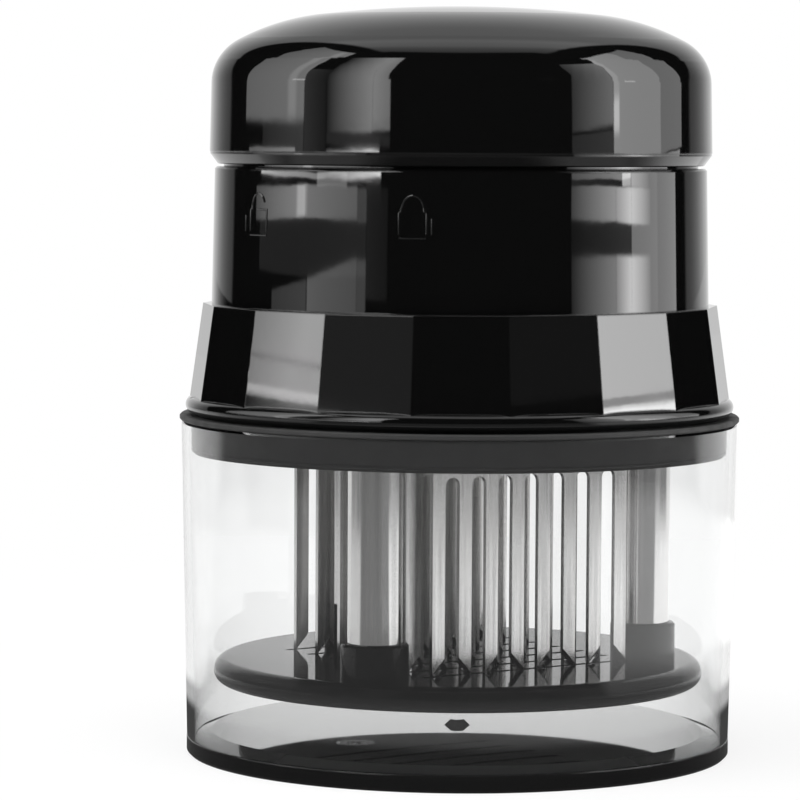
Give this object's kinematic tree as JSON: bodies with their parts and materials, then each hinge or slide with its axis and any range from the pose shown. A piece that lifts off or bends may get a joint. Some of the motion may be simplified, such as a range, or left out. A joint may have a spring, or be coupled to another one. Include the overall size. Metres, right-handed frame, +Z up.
{
  "type": "blade meat tenderizer",
  "caption": "Hand-held round meat tenderizer: rows of flat blades behind a sprung guard plate, under a twist-lock push knob, standing in a clear storage cup.",
  "frame": {"origin": "centre of the cup's foot, on the surface it stands on", "axes": "+Z up along the axis of the cup, head and knob; the blade rows run along X"},
  "size_m": [0.1056, 0.1056, 0.1407],
  "materials": {
    "cup_clear": "clear moulded plastic",
    "cup_black": "glossy moulded plastic",
    "shell_black": "high gloss moulded plastic",
    "collar_grey": "satin moulded plastic",
    "inner_plastic": "plain moulded plastic",
    "bush_plastic": "low-friction plastic",
    "guard_black": "high gloss moulded plastic",
    "blade_steel": "stamped and ground",
    "tube_steel": "drawn and polished",
    "spring_steel": "spring wire",
    "screw_steel": "plated"
  },
  "bodies": {
    "cup": {"cup_base": "cup_black", "cup_wall": "cup_clear"},
    "head": {"housing": "shell_black", "collar": "collar_grey", "blade_carrier": "inner_plastic", "blade_clamp": "inner_plastic", "blade_comb_1": "blade_steel", "blade_comb_2": "blade_steel", "blade_comb_3": "blade_steel", "blade_comb_4": "blade_steel", "blade_comb_5": "blade_steel", "blade_comb_6": "blade_steel", "blade_comb_7": "blade_steel", "guide_bush_1": "bush_plastic", "guide_bush_2": "bush_plastic", "guide_bush_3": "bush_plastic", "main_spring": "spring_steel", "housing_screws": "screw_steel", "clamp_screws": "screw_steel"},
    "guard": {"guard_plate": "guard_black", "guide_tube_1": "tube_steel", "guide_tube_2": "tube_steel", "guide_tube_3": "tube_steel", "tube_sleeve_1": "guard_black", "tube_sleeve_2": "guard_black", "tube_sleeve_3": "guard_black", "yoke": "inner_plastic", "tie_screws": "screw_steel"},
    "knob": {"knob_cap": "shell_black", "lock_ring": "inner_plastic", "knob_screws": "screw_steel"}
  },
  "joints": [
    {"name": "head_lift", "type": "slide", "parent": "cup", "child": "head", "axis": [0, 0, 1], "range_m": [0, 0.06]},
    {"name": "guard_slide", "type": "slide", "parent": "head", "child": "guard", "axis": [0, 0, 1], "range_m": [0, 0.028], "stiffness_N_per_m": 900, "springref_m": -0.012, "deforming": ["main_spring"]},
    {"name": "knob_turn", "type": "hinge", "parent": "head", "child": "knob", "pos_m": [0, 0, 0.11], "axis": [0, 0, -1], "range_deg": [0, 45]}
  ]
}
